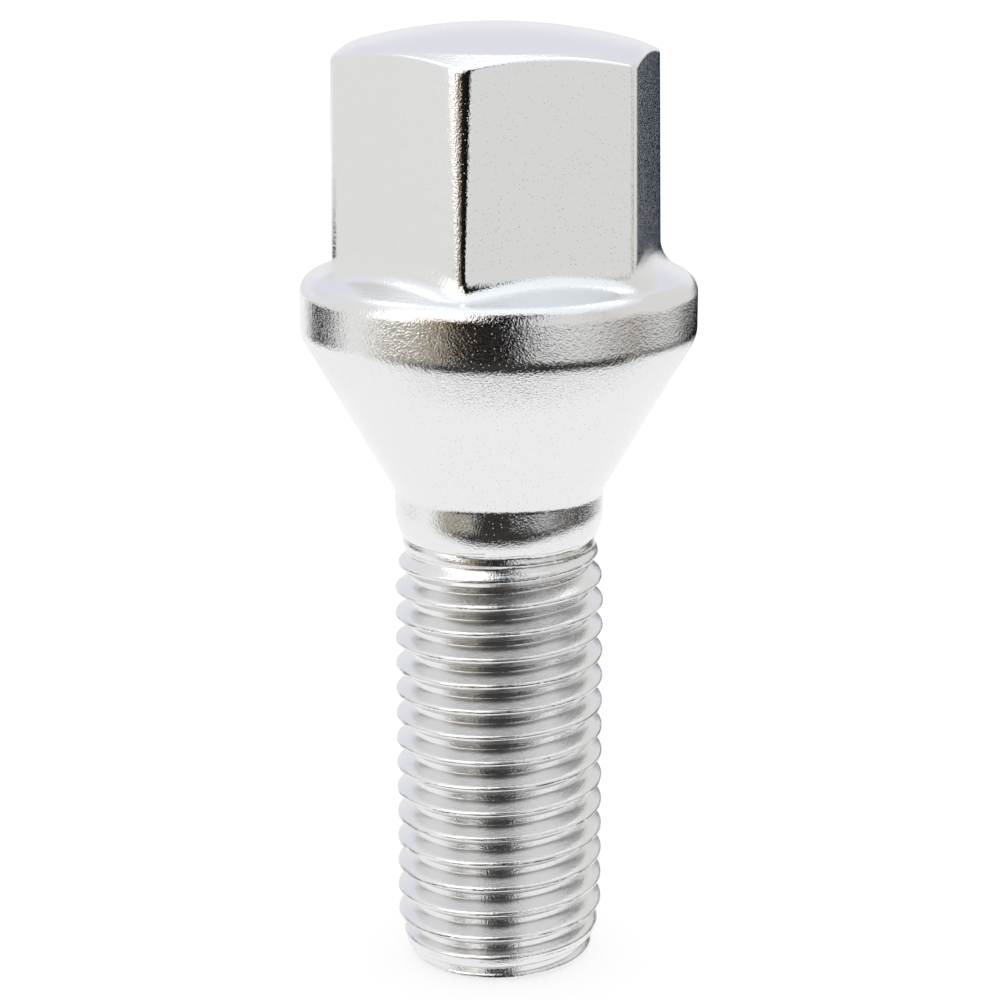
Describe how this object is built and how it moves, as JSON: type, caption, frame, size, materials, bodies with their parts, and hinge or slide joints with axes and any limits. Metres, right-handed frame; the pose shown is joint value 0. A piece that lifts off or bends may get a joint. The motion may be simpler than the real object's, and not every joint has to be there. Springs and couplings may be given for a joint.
{
  "type": "wheel bolt",
  "caption": "Chromed wheel bolt with a domed hexagon head, sloping flange, 60 degree conical seat and right-hand M12x1.5 thread.",
  "frame": {"origin": "centre of the flat face at the threaded tip, which is the lowest face", "axes": "+Z runs along the bolt's axis from the tip to the head; +X points at one corner of the hexagon"},
  "size_m": [0.022, 0.022, 0.0536],
  "materials": {
    "plated_steel": "bright plating over forged steel, with fine orange peel and small pits; satin on the thread"
  },
  "bodies": {
    "root": {"wheel_bolt": "plated_steel"}
  },
  "joints": []
}
